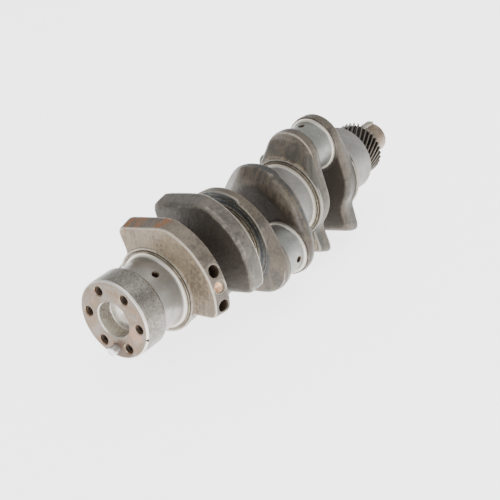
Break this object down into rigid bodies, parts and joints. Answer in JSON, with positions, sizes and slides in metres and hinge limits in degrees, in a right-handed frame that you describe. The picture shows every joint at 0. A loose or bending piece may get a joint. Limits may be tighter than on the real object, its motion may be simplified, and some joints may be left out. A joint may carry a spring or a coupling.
{
  "type": "crankshaft",
  "caption": "Forged crankshaft with offset throws, fan counterweights, a flywheel flange and a helical timing gear on a keyed nose.",
  "frame": {"origin": "centre of the output flange's face, where the flywheel is bolted", "axes": "+X along the main axis from the flange to the nose, +Z from the main axis towards the last crankpin, +Y completes a right-handed frame; the first crankpin lies at 330 degrees and the second at 210 degrees, counted from +Y towards +Z"},
  "size_m": [0.3945, 0.131, 0.1293],
  "materials": {
    "flange_face": "turned steel with light rust stains round the holes",
    "dowel_steel": "ground bright steel",
    "ground_journal": "ground steel with a thin oil film",
    "ground_pin": "ground steel with a thin oil film",
    "machined_collar": "fine turned steel",
    "forged_skin": "forged skin, shot-blasted, brown-grey with rust bloom",
    "forged_dark": "forged skin, oily blue-grey and brown",
    "nose_steel": "turned steel, tan stain",
    "key_steel": "cold-drawn key steel",
    "gear_steel": "hobbed and oil-blackened steel"
  },
  "bodies": {
    "root": {"crank_gear": "gear_steel", "crankpin_1": "ground_pin", "crankpin_2": "ground_pin", "crankpin_3": "ground_pin", "flange_dowel": "dowel_steel", "main_journal_1": "ground_journal", "main_journal_2": "ground_journal", "main_journal_3": "ground_journal", "main_journal_4": "ground_journal", "nose_key": "key_steel", "nose_shaft": "nose_steel", "output_flange": "flange_face", "thrust_collar_1": "machined_collar", "thrust_collar_2": "machined_collar", "thrust_collar_3": "machined_collar", "thrust_collar_4": "machined_collar", "thrust_collar_5": "machined_collar", "thrust_collar_6": "machined_collar", "web_1": "forged_skin", "web_2": "forged_skin", "web_3": "forged_dark", "web_4": "forged_dark", "web_5": "forged_skin", "web_6": "forged_skin"}
  },
  "joints": []
}
